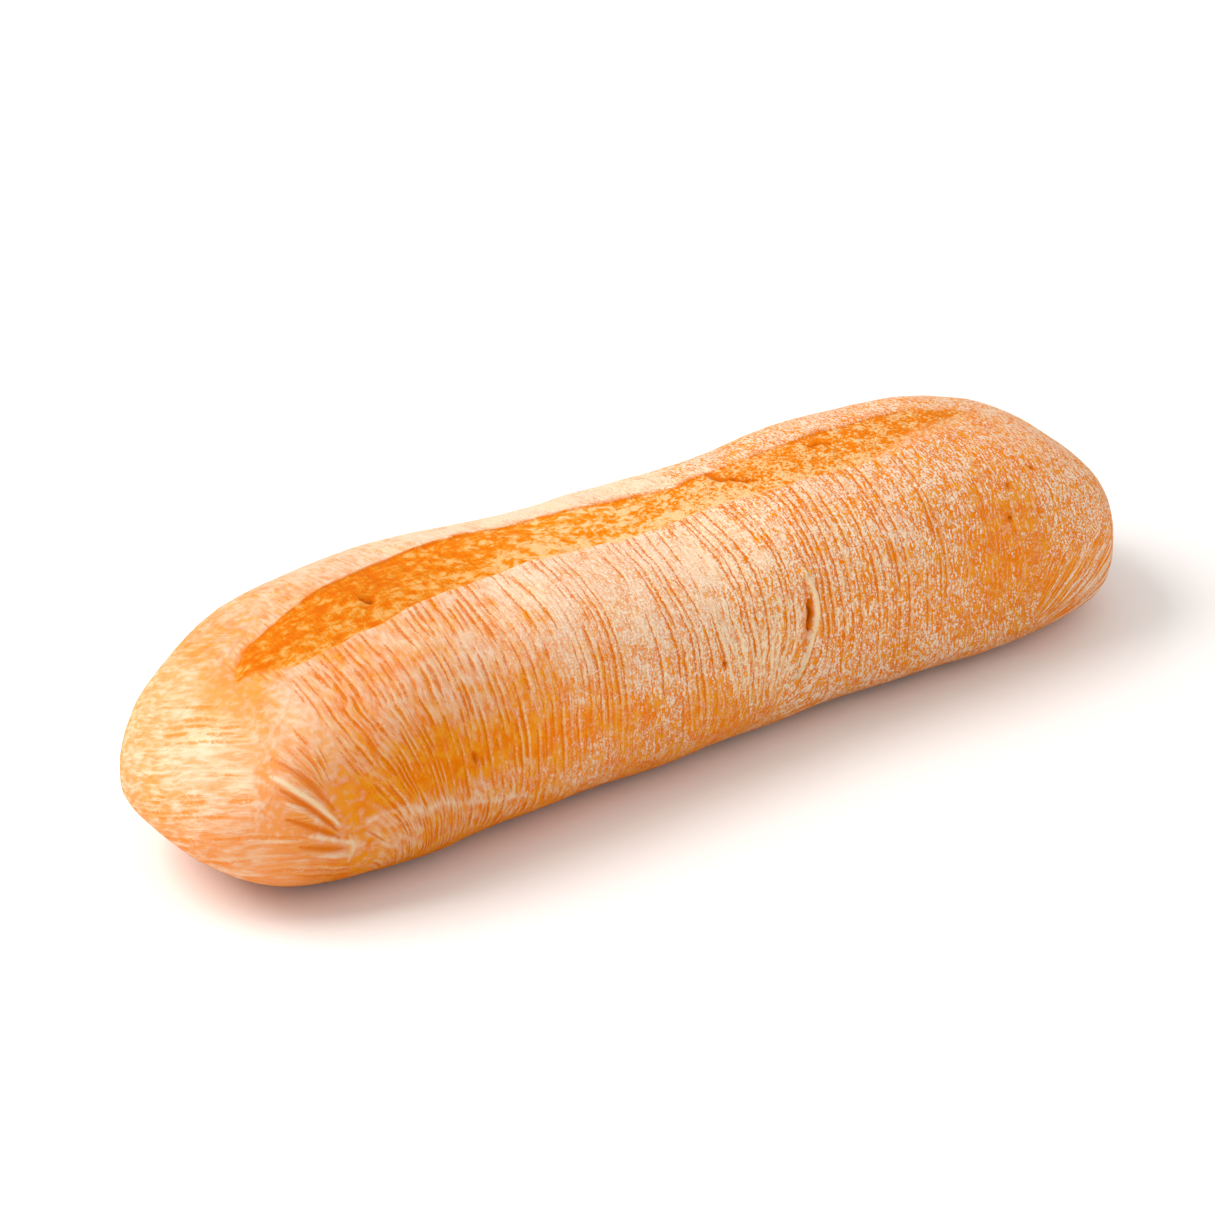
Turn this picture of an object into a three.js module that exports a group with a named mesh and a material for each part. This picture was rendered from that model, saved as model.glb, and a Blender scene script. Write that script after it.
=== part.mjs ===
// A baguette: one short rustic loaf of floured crust, uncut, with two lengthwise slashes along its crown.
//
// Units are millimetres and +Z is up. X runs along the loaf, from the blunt end at -X to the slim end at
// +X. The near flank is at -Y and the far flank at +Y. The loaf lies on its flat underside at Z = 0.
//
// The loaf is one closed body. A unit sphere with its poles on X gives the mesh, and every vertex of it is
// pulled out to the loaf's own form. A vertex has two coordinates on the form:
//   station    from -1 at the blunt tip to +1 at the slim tip
//   direction  the angle in the ring at that station: 0 far flank, 90 crown, 180 near flank, 270 underside

import * as THREE from "three";
import { mergeVertices } from "three/addons/utils/BufferGeometryUtils.js";

// Driving dimensions of the whole loaf. A pair holds the blunt end's value and the slim end's value.
const LENGTH = 300;
const WIDTH = [91.5, 73.7];
const HEIGHT = [76.2, 66.1];
const WAIST = { depth: 3.1, station: 0.18, reach: 0.17 };
const SADDLE = { depth: 12.6, station: -0.05, reach: 0.46 };
const BEND = { offset: 0.3, slope: -3.2, bow: -4.9, twist: 5.1 };

// How the loaf closes at its ends, seen from above, over the crown and under the belly: the higher the
// onset, the later the end starts to close, and the higher the fullness, the blunter it is.
const PLAN_END = { onset: [5.1, 12.2], fullness: [2.15, 2.17] };
const CROWN_END = { onset: [1.87, 4.2], fullness: [2, 2] };
const BELLY_END = { onset: [7.2, 13.5], fullness: [1.1, 2.3] };

// The ring: the height of its widest level, how far its underside would sag past the table, and how
// square it is above and below that level, where 2 is an ellipse.
const WIDEST_LEVEL = [24.6, 19.1];
const UNDERSIDE_SAG = 1.128;
const SQUARENESS = { above: 2.74, below: 2.33 };

// The two slashes in the crown. The middle line runs from offset `from` to offset `to` beside the ridge
// of the crown, and sways and twists on its way. The half width tapers from the first end to the last.
const SLASHES = [
  {
    start: -121, end: 34, halfWidth: 11.8, taper: 1.6, bluntness: 3.6, depth: 2.8,
    middle: { from: -3.2, to: -1.2, sway: 4.6, twist: -1.6 },
  },
  {
    start: 13, end: 114, halfWidth: 9.9, taper: 0, bluntness: 3.4, depth: 2.3,
    middle: { from: 1.5, to: 1.8, sway: -4.5, twist: 1.0 },
  },
];
const SLASH_JOIN = 21;
const SLASH_JOIN_BLEND = 12;
const LEAST_HALF_WIDTH = 4;
const WALL_WIDTH = 1.4;
const FLOOR_DOME = 0.35;
const EAR = { height: 0.9, width: 5 };
const LIP = { height: 0.4, width: 4 };

// Soft unevenness of the dough: slow swells over the whole crust, dents where it was pinched together,
// and bulges where the dough of the blunt end's near corner sags on to the table.
const SWELLS = [
  { height: 0.5, wavelength: 96, turns: 2, phase: 1.2, lean: 0.7 },
  { height: 0.35, wavelength: 58, turns: 3, phase: 4.1, lean: 2.2 },
  { height: 0.25, wavelength: 37, turns: 5, phase: 0.4, lean: 5.0 },
];
const DENTS = [
  { x: -116, direction: 170, radius: 9, height: -1.6 },
  { x: 21, direction: 168, radius: 7, height: -0.8 },
  { x: -74, direction: 166, radius: 6, height: -0.5 },
];
const BULGES = [
  { x: -112, direction: 222, radius: 17, height: 0.9 },
  { x: -128, direction: 205, radius: 20, height: 1.0 },
];

// The mesh: rings along the loaf, and columns round it in the order that the spans below give.
const RINGS = 84;
const RING_CROWDING = 1.15;
const COLUMN_SPANS = { underside: 8, flank: 10, shoulder: 5, wall: 1, floor: 6 };
const SHOULDER_DIRECTION = 48;
const NORMAL_STEP = 1e-3;
const TABLE_FADE = 6;

const CRUST = { color: 0xdca468, roughness: 0.85, metalness: 0 };

const radians = THREE.MathUtils.degToRad;
const { clamp, lerp, smoothstep } = THREE.MathUtils;

/** A value between the blunt end's and the slim end's, eased along the loaf. */
function along(pair, station) {
  return lerp(pair[0], pair[1], smoothstep(station, -1, 1));
}

/** A rounded hump, 1 at the middle and almost 0 at twice the reach. */
function hump(distance, reach) {
  return Math.exp(-((distance / reach) ** 2));
}

/** How far the loaf is still open at a station: 1 amidships and 0 at the tips. */
function opening(end, station) {
  const side = station > 0 ? 1 : 0;
  const closed = Math.abs(station) ** end.onset[side];
  return Math.max(0, 1 - closed) ** (1 / end.fullness[side]);
}

/** Width, height and place of the ring at a station. */
function ringSizes(station) {
  const width = along(WIDTH, station) - WAIST.depth * hump(station - WAIST.station, WAIST.reach);
  const height = along(HEIGHT, station) - SADDLE.depth * hump(station - SADDLE.station, SADDLE.reach);
  const level = along(WIDEST_LEVEL, station);
  return {
    x: (station * LENGTH) / 2,
    middle: BEND.offset + BEND.slope * station + BEND.bow * station ** 2 + BEND.twist * station ** 3,
    level,
    halfWidth: (width / 2) * opening(PLAN_END, station),
    above: (height - level) * opening(CROWN_END, station),
    below: level * UNDERSIDE_SAG * opening(BELLY_END, station),
  };
}

/** The distance from the ring's middle to its edge in a direction, where the ring is a superellipse. */
function ringReach(ring, direction) {
  const cosine = Math.abs(Math.cos(direction));
  const sine = Math.abs(Math.sin(direction));
  const upper = Math.sin(direction) > 0;
  const power = upper ? SQUARENESS.above : SQUARENESS.below;
  const halfHeight = Math.max(upper ? ring.above : ring.below, 1e-6);
  const halfWidth = Math.max(ring.halfWidth, 1e-6);
  return ((cosine / halfWidth) ** power + (sine / halfHeight) ** power) ** (-1 / power);
}

/** A point of the smooth loaf. The underside is pressed flat by the table. */
function smoothLoaf(station, direction) {
  const ring = ringSizes(station);
  const reach = ringReach(ring, direction);
  const y = ring.middle + reach * Math.cos(direction);
  const z = Math.max(0, ring.level + reach * Math.sin(direction));
  return new THREE.Vector3(ring.x, y, z);
}

/** The outward normal of the smooth loaf. */
function outward(station, direction) {
  const inner = clamp(station, -1 + 2 * NORMAL_STEP, 1 - 2 * NORMAL_STEP);
  const before = smoothLoaf(inner - NORMAL_STEP, direction);
  const after = smoothLoaf(inner + NORMAL_STEP, direction);
  const left = smoothLoaf(inner, direction - NORMAL_STEP);
  const right = smoothLoaf(inner, direction + NORMAL_STEP);
  const lengthwise = after.sub(before);
  const crosswise = right.sub(left);
  return lengthwise.cross(crosswise).negate().normalize();
}

/** The direction in which the ring above its widest level has a given offset from its middle. */
function directionOfOffset(ring, offset) {
  const share = clamp(Math.abs(offset) / ring.halfWidth, 0, 1);
  const rise = ring.above * (1 - share ** SQUARENESS.above) ** (1 / SQUARENESS.above);
  return Math.atan2(rise, offset);
}

/** The direction in which the near flank meets the table, or a low one where the loaf curls up off it. */
function directionOfBase(ring) {
  const grip = Math.min(ring.level / Math.max(ring.below, 1e-6), 1);
  const share = (1 - grip ** SQUARENESS.below) ** (1 / SQUARENESS.below);
  return Math.atan2(-ring.level, -ring.halfWidth * Math.max(share, 0.5));
}

/** Offset of a slash's middle line from the ridge of the crown, at a share of its length. */
function slashMiddle({ middle }, share) {
  const bow = middle.sway * Math.sin(Math.PI * share);
  const twist = middle.twist * Math.sin(2 * Math.PI * share);
  return lerp(middle.from, middle.to, share) + bow + twist;
}

/** The furrow at a distance along the loaf: its middle offset, half width and depth. */
function furrow(x) {
  const cuts = SLASHES.map((slash) => {
    const share = clamp((x - slash.start) / (slash.end - slash.start), 0, 1);
    const place = 2 * share - 1;
    const opened = Math.sqrt(1 - Math.abs(place) ** slash.bluntness);
    return {
      middle: slashMiddle(slash, share),
      halfWidth: (slash.halfWidth - slash.taper * place) * opened,
      depth: slash.depth * opened ** 2,
    };
  });
  const far = smoothstep(x, SLASH_JOIN - SLASH_JOIN_BLEND, SLASH_JOIN + SLASH_JOIN_BLEND);
  return {
    middle: lerp(cuts[0].middle, cuts[1].middle, far),
    halfWidth: Math.max(cuts[0].halfWidth, cuts[1].halfWidth),
    depth: lerp(cuts[0].depth, cuts[1].depth, far),
  };
}

/** Height of the crust over the smooth loaf at the slashes, at an offset from the crown's ridge. */
function slashRelief(x, offset) {
  const cut = furrow(x);
  if (cut.halfWidth <= 0) return 0;
  const across = offset - cut.middle;
  const inside = cut.halfWidth - Math.abs(across);
  const share = clamp(across / cut.halfWidth, -1, 1);
  const floor = -cut.depth * (1 - FLOOR_DOME * (1 - share ** 2));
  const edge = across > 0 ? EAR : LIP;
  const openness = clamp(cut.depth / SLASHES[0].depth, 0, 1);
  const rim = openness * edge.height * hump(inside, edge.width);
  return lerp(rim, floor, smoothstep(inside, 0, WALL_WIDTH));
}

/** Slow swells of the dough. They fade out at the tips, where all directions meet. */
function swellRelief(station, x, direction) {
  const fade = 1 - station ** 8;
  const heights = SWELLS.map(({ height, wavelength, turns, phase, lean }) => {
    const run = Math.sin((2 * Math.PI * x) / wavelength + phase);
    return height * run * Math.sin(turns * direction + lean);
  });
  return fade * heights.reduce((sum, height) => sum + height, 0);
}

/** Round spots of the dough, dents or bulges, each with its middle on the smooth loaf. */
function spotRelief(spots, place) {
  const heights = spots.map(({ x, direction, radius, height }) => {
    const middle = smoothLoaf((2 * x) / LENGTH, radians(direction));
    return height * hump(place.distanceTo(middle), radius);
  });
  return heights.reduce((sum, height) => sum + height, 0);
}

/** A point of the finished crust. What rests on the table stays flat on it. */
function crustPoint(station, direction) {
  const place = smoothLoaf(station, direction);
  const ring = ringSizes(station);
  const onTop = Math.sin(direction) > 0;
  const cut = onTop ? slashRelief(place.x, place.y - ring.middle) : 0;
  const soft = swellRelief(station, place.x, direction) + spotRelief(DENTS, place);
  const relief = cut + smoothstep(place.z, 0, TABLE_FADE) * soft + spotRelief(BULGES, place);
  place.addScaledVector(outward(station, direction), relief);
  place.z = place.z < NORMAL_STEP ? 0 : place.z;
  return place;
}

/** The guide directions at a station, with the number of columns up to each. They follow both slashes. */
function columnGuides(station) {
  const ring = ringSizes(station);
  const firstX = SLASHES[0].start;
  const lastX = SLASHES[SLASHES.length - 1].end;
  const guideX = clamp(ring.x, firstX, lastX);
  const cut = furrow(guideX);
  const crown = ringSizes((2 * guideX) / LENGTH);
  const halfWidth = Math.max(cut.halfWidth, LEAST_HALF_WIDTH);
  const at = (offset) => directionOfOffset(crown, cut.middle + offset);
  const base = directionOfBase(ring);
  const turn = 2 * Math.PI;
  const nearBase = base + turn;
  const farBase = Math.PI - nearBase;
  const shoulder = radians(SHOULDER_DIRECTION);
  return [
    { columns: 0, direction: farBase },
    { columns: COLUMN_SPANS.flank, direction: shoulder },
    { columns: COLUMN_SPANS.shoulder, direction: at(halfWidth) },
    { columns: COLUMN_SPANS.wall, direction: at(halfWidth - WALL_WIDTH) },
    { columns: COLUMN_SPANS.floor, direction: at(WALL_WIDTH - halfWidth) },
    { columns: COLUMN_SPANS.wall, direction: at(-halfWidth) },
    { columns: COLUMN_SPANS.shoulder, direction: Math.PI - shoulder },
    { columns: COLUMN_SPANS.flank, direction: nearBase },
    { columns: COLUMN_SPANS.underside, direction: farBase + turn },
  ];
}

/** The direction of a column, counted from the far edge of the underside. */
function columnDirection(guides, column) {
  let first = 0;
  for (let i = 1; i < guides.length; i += 1) {
    const { columns, direction } = guides[i];
    if (column <= first + columns) {
      return lerp(guides[i - 1].direction, direction, (column - first) / columns);
    }
    first += columns;
  }
  return guides[guides.length - 1].direction;
}

/** The station of a ring: even along the loaf, and crowded towards the tips so that they are round. */
function ringStation(share) {
  const place = 2 * share - 1;
  const out = Math.abs(place);
  const pace = RING_CROWDING;
  return Math.sign(place) * (pace * out + (3 - 2 * pace) * out ** 2 + (pace - 2) * out ** 3);
}

/** The whole loaf: a sphere with its poles on X, each vertex pulled out to the crust. */
function loafGeometry() {
  const { underside, flank, shoulder, wall, floor } = COLUMN_SPANS;
  const columns = underside + 2 * (flank + shoulder + wall) + floor;
  const sphere = new THREE.SphereGeometry(1, columns, RINGS).rotateZ(-Math.PI / 2);
  sphere.deleteAttribute("normal");
  sphere.deleteAttribute("uv");
  const geometry = mergeVertices(sphere);
  const position = geometry.getAttribute("position");
  const vertex = new THREE.Vector3();
  for (let i = 0; i < position.count; i += 1) {
    vertex.fromBufferAttribute(position, i);
    const share = 1 - Math.acos(clamp(vertex.x, -1, 1)) / Math.PI;
    const station = ringStation(Math.round(share * RINGS) / RINGS);
    const turn = Math.atan2(vertex.z, vertex.y) / (2 * Math.PI);
    const column = Math.round((turn + 1) * columns) % columns;
    const direction = columnDirection(columnGuides(station), column);
    const point = crustPoint(station, direction);
    position.setXYZ(i, point.x, point.y, point.z);
  }
  geometry.computeBoundingBox();
  const middle = geometry.boundingBox.getCenter(new THREE.Vector3());
  geometry.translate(-middle.x, -middle.y, 0);
  geometry.computeVertexNormals();
  return geometry;
}

const loaf = new THREE.Mesh(loafGeometry(), new THREE.MeshStandardMaterial(CRUST));
loaf.name = "loaf";

const baguette = new THREE.Group();
baguette.add(loaf);

export default baguette;
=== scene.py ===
"""A short rustic baguette: a floured, finely cracked crust with two slashes opened along its crown.

The loaf is one skin. A sphere from bmesh, with its poles on X, gives the mesh, and each vertex is pulled out
to the loaf's form and then raised or sunk by the crust's relief. A vertex has two coordinates on the form:
its station, from -1 at the blunt tip to +1 at the slim tip, and its direction in the ring at that station,
with 0 the far flank, 90 the crown, 180 the near flank and 270 the underside. Sizes are in millimetres, and
the finished mesh is in metres.
"""

import logging
import math
from dataclasses import dataclass, field
from enum import Enum

import bmesh
import bpy
import numpy as np
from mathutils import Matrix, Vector


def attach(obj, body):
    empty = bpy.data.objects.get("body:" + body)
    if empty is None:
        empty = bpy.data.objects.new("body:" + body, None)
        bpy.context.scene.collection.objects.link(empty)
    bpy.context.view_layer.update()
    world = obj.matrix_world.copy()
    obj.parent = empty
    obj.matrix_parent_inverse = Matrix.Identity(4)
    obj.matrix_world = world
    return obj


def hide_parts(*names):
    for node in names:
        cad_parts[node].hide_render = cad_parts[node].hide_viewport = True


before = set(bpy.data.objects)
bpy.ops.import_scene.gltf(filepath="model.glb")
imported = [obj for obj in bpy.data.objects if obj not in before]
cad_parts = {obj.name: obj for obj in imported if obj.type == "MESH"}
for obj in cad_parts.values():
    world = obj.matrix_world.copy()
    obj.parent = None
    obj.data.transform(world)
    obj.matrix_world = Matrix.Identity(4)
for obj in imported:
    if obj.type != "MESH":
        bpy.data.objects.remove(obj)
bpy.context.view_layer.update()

Array = np.ndarray
Colour = tuple[float, float, float]
Socket = bpy.types.NodeSocket

MM = 0.001
PHOTO_PIXELS = 1215
SENSOR_MM = 36.0
SPHERE_START = 0.25  # the share of a turn at which the sphere's first column stands

log = logging.getLogger("baguette")


def smoothstep(value: Array, low: float, high: float) -> Array:
    """An eased step from 0 at low to 1 at high."""
    share = np.clip((value - low) / (high - low), 0.0, 1.0)
    return share * share * (3.0 - 2.0 * share)


def lerp(first: Array, last: Array, share: Array) -> Array:
    """A value between two others."""
    return first + (last - first) * share


def hump(distance: Array, reach: float) -> Array:
    """A rounded hump, 1 at the middle and almost 0 at twice the reach."""
    return np.exp(-((distance / reach) ** 2))


def along(pair: tuple[float, float], station: Array) -> Array:
    """A value between the blunt end's and the slim end's, eased along the loaf."""
    return lerp(pair[0], pair[1], smoothstep(station, -1.0, 1.0))


def linear(red: int, green: int, blue: int) -> Colour:
    """A colour given as it looks on a screen, from 0 to 255, as a shader's linear colour."""
    shares = [channel / 255.0 for channel in (red, green, blue)]
    return tuple(s / 12.92 if s <= 0.04045 else ((s + 0.055) / 1.055) ** 2.4 for s in shares)


@dataclass(frozen=True)
class SmoothNoise:
    """Seeded noise in space, from -1 to 1, smooth between the points of a lattice that repeats."""

    seed: int
    lattice: int = 61

    def at(self, points: Array) -> Array:
        """The noise at points of shape (count, 3), in units of the lattice.

        Args:
            points: points of shape (count, 3), in units of the lattice.

        Returns:
            The noise at each point, from -1 to 1.
        """
        table = np.random.default_rng(self.seed).uniform(-1.0, 1.0, (self.lattice,) * 3)
        cell = np.floor(points).astype(int)
        share = points - cell
        ease = share**3 * (share * (share * 6.0 - 15.0) + 10.0)
        total = np.zeros(len(points))
        for corner in np.ndindex(2, 2, 2):
            weight = np.prod(np.where(np.array(corner) == 1, ease, 1.0 - ease), axis=1)
            spot = (cell + np.array(corner)) % self.lattice
            total += weight * table[spot[:, 0], spot[:, 1], spot[:, 2]]
        return total

    def layers(self, points: Array, octaves: int = 3, falloff: float = 0.5) -> Array:
        """Several layers of the noise, each twice as fine as the last and weaker by the falloff.

        Args:
            points: points of shape (count, 3), in units of the lattice.
            octaves: how many layers.
            falloff: each layer's weight against the last.

        Returns:
            The layered noise at each point, from -1 to 1.
        """
        total = np.zeros(len(points))
        for octave in range(octaves):
            total += falloff**octave * self.at(points * 2.0**octave + 7.3 * octave)
        return total / sum(falloff**octave for octave in range(octaves))


@dataclass(frozen=True)
class EndClosing:
    """How the loaf closes at its blunt and its slim end.

    A higher onset closes nearer to the tip, and more fullness makes a blunter end.
    """

    onset: tuple[float, float]
    fullness: tuple[float, float]

    def opening(self, station: Array) -> Array:
        """How far the loaf is still open: 1 amidships and 0 at the tips.

        Args:
            station: the stations, from -1 to 1.

        Returns:
            The open share at each station.
        """
        slim = station > 0
        onset = np.where(slim, self.onset[1], self.onset[0])
        fullness = np.where(slim, self.fullness[1], self.fullness[0])
        return np.maximum(0.0, 1.0 - np.abs(station) ** onset) ** (1.0 / fullness)


@dataclass(frozen=True)
class Rings:
    """The sizes of the rings at many stations."""

    x: Array
    middle: Array
    level: Array
    half_width: Array
    above: Array
    below: Array


@dataclass(frozen=True)
class LoafForm:
    """The smooth loaf without its crust's relief: rings along X, pressed flat by the table."""

    length: float = 300.0
    width: tuple[float, float] = (91.5, 73.7)
    height: tuple[float, float] = (76.2, 66.1)
    waist: tuple[float, float, float] = (3.1, 0.18, 0.17)
    saddle: tuple[float, float, float] = (12.6, -0.05, 0.46)
    bend: tuple[float, float, float, float] = (0.3, -3.2, -4.9, 5.1)
    plan_end: EndClosing = EndClosing((5.1, 12.2), (2.15, 2.17))
    crown_end: EndClosing = EndClosing((1.87, 4.2), (2.0, 2.0))
    belly_end: EndClosing = EndClosing((7.2, 13.5), (1.1, 2.3))
    widest_level: tuple[float, float] = (24.6, 19.1)
    underside_sag: float = 1.128
    square_above: float = 2.74
    square_below: float = 2.33

    def rings(self, station: Array) -> Rings:
        """Width, height and place of the ring at each station.

        Args:
            station: the stations, from -1 to 1.

        Returns:
            The rings, in millimetres.
        """
        depth, place, reach = self.waist
        width = along(self.width, station) - depth * hump(station - place, reach)
        depth, place, reach = self.saddle
        height = along(self.height, station) - depth * hump(station - place, reach)
        level = along(self.widest_level, station)
        offset, slope, bow, twist = self.bend
        return Rings(
            x=station * self.length / 2.0,
            middle=offset + slope * station + bow * station**2 + twist * station**3,
            level=level,
            half_width=width / 2.0 * self.plan_end.opening(station),
            above=(height - level) * self.crown_end.opening(station),
            below=level * self.underside_sag * self.belly_end.opening(station),
        )

    def point(self, station: Array, direction: Array) -> Array:
        """Points of the smooth loaf, of shape (count, 3).

        Args:
            station: the stations, from -1 to 1.
            direction: the directions in the rings, in radians.

        Returns:
            The points, in millimetres.
        """
        rings = self.rings(station)
        cosine, sine = np.cos(direction), np.sin(direction)
        upper = sine > 0
        power = np.where(upper, self.square_above, self.square_below)
        tall = np.maximum(np.where(upper, rings.above, rings.below), 1e-6)
        wide = np.maximum(rings.half_width, 1e-6)
        reach = ((np.abs(cosine) / wide) ** power + (np.abs(sine) / tall) ** power) ** (-1.0 / power)
        y = rings.middle + reach * cosine
        z = np.maximum(0.0, rings.level + reach * sine)
        return np.stack([rings.x, y, z], axis=1)

    def outward(self, station: Array, direction: Array, step: float = 1e-3) -> Array:
        """The outward normals of the smooth loaf, of shape (count, 3).

        Args:
            station: the stations, from -1 to 1.
            direction: the directions in the rings, in radians.
            step: how far apart the surface is felt.

        Returns:
            The unit normals.
        """
        inner = np.clip(station, -1.0 + 2.0 * step, 1.0 - 2.0 * step)
        lengthwise = self.point(inner + step, direction) - self.point(inner - step, direction)
        crosswise = self.point(inner, direction + step) - self.point(inner, direction - step)
        normal = -np.cross(lengthwise, crosswise)
        return normal / np.maximum(np.linalg.norm(normal, axis=1, keepdims=True), 1e-9)

    def direction_of_offset(self, rings: Rings, offset: Array) -> Array:
        """The direction in which the upper ring has a given offset from its middle.

        Args:
            rings: the rings.
            offset: the offsets across the loaf, in millimetres.

        Returns:
            The directions, in radians.
        """
        share = np.clip(np.abs(offset) / np.maximum(rings.half_width, 1e-6), 0.0, 1.0)
        rise = rings.above * (1.0 - share**self.square_above) ** (1.0 / self.square_above)
        return np.arctan2(rise, offset)

    def direction_of_base(self, rings: Rings) -> Array:
        """The direction in which the near flank meets the table, or a low one where the loaf curls up.

        Args:
            rings: the rings.

        Returns:
            The directions, in radians.
        """
        grip = np.minimum(rings.level / np.maximum(rings.below, 1e-6), 1.0)
        share = (1.0 - grip**self.square_below) ** (1.0 / self.square_below)
        return np.arctan2(-rings.level, -rings.half_width * np.maximum(share, 0.5))


@dataclass(frozen=True)
class Slash:
    """One cut along the crown. Its middle line sways and twists beside the ridge of the crown."""

    start: float
    end: float
    half_width: float
    taper: float
    bluntness: float
    depth: float
    middle_from: float
    middle_to: float
    sway: float
    twist: float

    def middle(self, share: Array) -> Array:
        """Offset of the middle line from the ridge of the crown, at a share of the cut's length."""
        bow = self.sway * np.sin(np.pi * share)
        return lerp(self.middle_from, self.middle_to, share) + bow + self.twist * np.sin(2.0 * np.pi * share)

    def cut(self, x: Array) -> tuple[Array, Array, Array]:
        """Middle offset, half width and depth of the cut at distances along the loaf.

        Args:
            x: distances along the loaf.

        Returns:
            The three sizes at each distance, in millimetres.
        """
        share = np.clip((x - self.start) / (self.end - self.start), 0.0, 1.0)
        place = 2.0 * share - 1.0
        opened = np.sqrt(np.maximum(0.0, 1.0 - np.abs(place) ** self.bluntness))
        half_width = (self.half_width - self.taper * place) * opened
        return self.middle(share), half_width, self.depth * opened**2


@dataclass(frozen=True)
class SlashPair:
    """The two cuts, which run into each other amidships, and the shape of their edges and floors."""

    long_cut: Slash = Slash(-121.0, 34.0, 11.8, 1.6, 3.6, 2.8, -3.2, -1.2, 4.6, -1.6)
    short_cut: Slash = Slash(13.0, 114.0, 9.9, 0.0, 3.4, 2.3, 1.5, 1.8, -4.5, 1.0)
    join: float = 21.0
    join_blend: float = 12.0
    least_half_width: float = 4.0
    wall_width: float = 1.4
    near_step: float = 0.62
    far_step: float = 0.14
    floor_dome: float = 0.25
    ear_height: float = 0.3
    ear_width: float = 3.0
    lip_height: float = 0.35
    lip_width: float = 3.0

    def furrow(self, x: Array) -> tuple[Array, Array, Array]:
        """Middle offset, half width and depth of the joined cuts.

        Args:
            x: distances along the loaf.

        Returns:
            The three sizes at each distance, in millimetres.
        """
        middle_a, wide_a, deep_a = self.long_cut.cut(x)
        middle_b, wide_b, deep_b = self.short_cut.cut(x)
        far = smoothstep(x, self.join - self.join_blend, self.join + self.join_blend)
        return lerp(middle_a, middle_b, far), np.maximum(wide_a, wide_b), lerp(deep_a, deep_b, far)

    def place(self, x: Array, offset: Array, ragged: Array) -> tuple[Array, Array, Array]:
        """Where points lie in the furrow.

        Args:
            x: distances along the loaf.
            offset: offsets from the ridge of the crown.
            ragged: how far the edge is moved outwards at each point.

        Returns:
            The distance inside the edge, the share across from -1 near to +1 far, and the floor's depth.
        """
        middle, half_width, depth = self.furrow(x)
        across = offset - middle
        inside = np.where(half_width > 0.0, half_width - np.abs(across) + ragged, -99.0)
        return inside, np.clip(across / np.maximum(half_width, 1e-6), -1.5, 1.5), depth

    def softness(self, x: Array, share: Array) -> Array:
        """Over what distance the edge turns into the floor: crisp, but soft at the cuts' ends.

        Args:
            x: distances along the loaf.
            share: the shares across, from -1 near to +1 far.

        Returns:
            The distances, in millimetres.
        """
        near = lerp(7.0, 0.95, smoothstep(x, -121.0, -103.0)) + 9.0 * smoothstep(x, 62.0, 92.0)
        far = 0.55 + 4.0 * smoothstep(x, 90.0, 112.0)
        return np.where(share > 0.0, far, near)

    def relief(self, inside: Array, share: Array, depth: Array, soft: Array) -> Array:
        """Height over the smooth loaf: a sunk floor, a raised ear beyond it and a soft lip on this side.

        Args:
            inside: distances inside the edge.
            share: the shares across, from -1 near to +1 far.
            depth: the floor's depths.
            soft: over what distance the edge turns into the floor.

        Returns:
            The heights, in millimetres.
        """
        within = np.clip(share, -1.0, 1.0)
        step = lerp(self.near_step, self.far_step, smoothstep(within, -0.6, 0.9))
        floor = -depth * (step - self.floor_dome * (1.0 - within**2))
        far = share > 0.0
        height = np.where(far, self.ear_height, self.lip_height)
        width = np.where(far, self.ear_width, self.lip_width)
        rim = np.clip(depth / self.long_cut.depth, 0.0, 1.0) * height * np.exp(-((inside / width) ** 2))
        rim = np.where(inside < -90.0, 0.0, rim)
        return lerp(rim, floor, smoothstep(inside, 0.0, np.maximum(self.wall_width, soft)))


@dataclass(frozen=True)
class Swell:
    """One slow swell of the dough, a wave along the loaf that turns round it."""

    height: float
    wavelength: float
    turns: int
    phase: float
    lean: float


@dataclass(frozen=True)
class Spot:
    """A round dent or bulge with its middle on the smooth loaf, in millimetres and degrees."""

    x: float
    direction: float
    radius: float
    height: float

    def shape(self, form: LoafForm, points: Array) -> Array:
        """The spot's rounded share at points, 1 at its middle.

        Args:
            form: the smooth loaf.
            points: points of shape (count, 3), in millimetres.

        Returns:
            The share at each point.
        """
        station = np.array([2.0 * self.x / form.length])
        middle = form.point(station, np.radians([self.direction]))
        return hump(np.linalg.norm(points - middle, axis=1), self.radius)


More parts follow.
